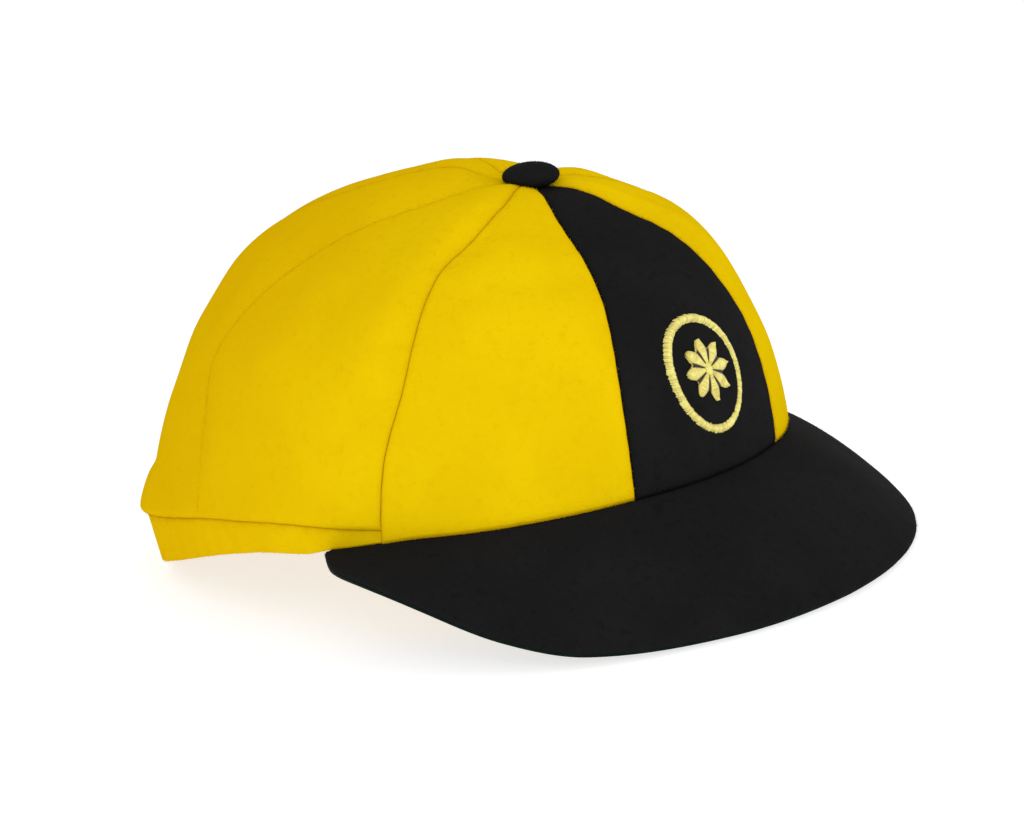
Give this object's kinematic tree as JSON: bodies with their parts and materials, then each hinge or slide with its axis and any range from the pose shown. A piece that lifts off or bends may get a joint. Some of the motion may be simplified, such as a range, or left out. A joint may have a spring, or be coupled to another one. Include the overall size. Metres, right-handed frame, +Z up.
{
  "type": "school cap",
  "caption": "Felt school cap with a panelled yellow crown, black front panel and peak, covered top button, gathered rear band and embroidered badge, lying on a surface.",
  "frame": {"origin": "middle of the cap's length and width, on the surface that it lies on", "axes": "+Z up, -Y towards the peak, -X towards the wearer's right"},
  "size_m": [0.1994, 0.2382, 0.117],
  "materials": {
    "yellow_felt": "matte wool felt",
    "black_felt": "matte wool felt",
    "green_cloth": "matte cotton",
    "gold_thread": "satin stitched thread"
  },
  "bodies": {
    "root": {"front_panel": "black_felt", "right_front_panel": "yellow_felt", "right_side_panel": "yellow_felt", "right_rear_panel": "yellow_felt", "rear_panel": "yellow_felt", "left_rear_panel": "yellow_felt", "left_side_panel": "yellow_felt", "left_front_panel": "yellow_felt", "rear_band": "yellow_felt", "top_button": "black_felt", "peak": "black_felt", "peak_lining": "green_cloth", "badge_ring": "gold_thread", "badge_rosette": "gold_thread"}
  },
  "joints": []
}
